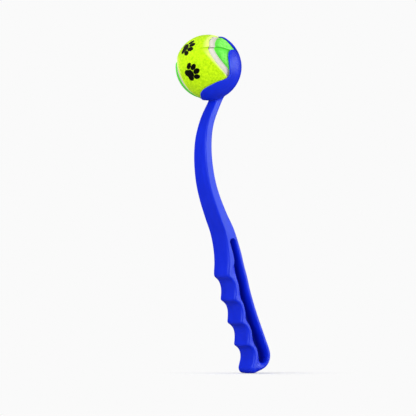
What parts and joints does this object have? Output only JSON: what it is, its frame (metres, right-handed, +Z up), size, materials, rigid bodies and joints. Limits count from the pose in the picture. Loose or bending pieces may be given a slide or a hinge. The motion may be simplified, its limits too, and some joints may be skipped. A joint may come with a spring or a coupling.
{
  "type": "dog ball thrower",
  "caption": "Hand-held ball thrower: a curved, tapering arm with a finger-scalloped, cored grip at its foot and a slit, petalled cup at its head that carries a felt-covered ball.",
  "frame": {"origin": "on the middle line of the grip, halfway along its finger scallops, where a hand holds it", "axes": "+Z up the thrower from the butt to the cup, -Y towards the throwing side with the finger scallops and the cup's mouth, X across the grip"},
  "size_m": [0.0663, 0.1016, 0.3388],
  "materials": {
    "moulding": "satin blue polypropylene, moulded in one piece",
    "yellow_felt": "napped yellow-green tennis felt with black paw prints",
    "green_felt": "napped bright green tennis felt",
    "cement": "matt off-white rubber cement",
    "core_rubber": "matt dark moulded rubber"
  },
  "bodies": {
    "launcher": {"launcher": "moulding"},
    "ball": {"felt_panel_yellow": "yellow_felt", "felt_panel_green": "green_felt", "seam_cement": "cement", "core_half_upper": "core_rubber", "core_half_lower": "core_rubber"}
  },
  "joints": [
    {"name": "ball_release", "type": "slide", "parent": "launcher", "child": "ball", "axis": [0, -0.891, 0.454], "range_m": [0, 0.08]}
  ]
}
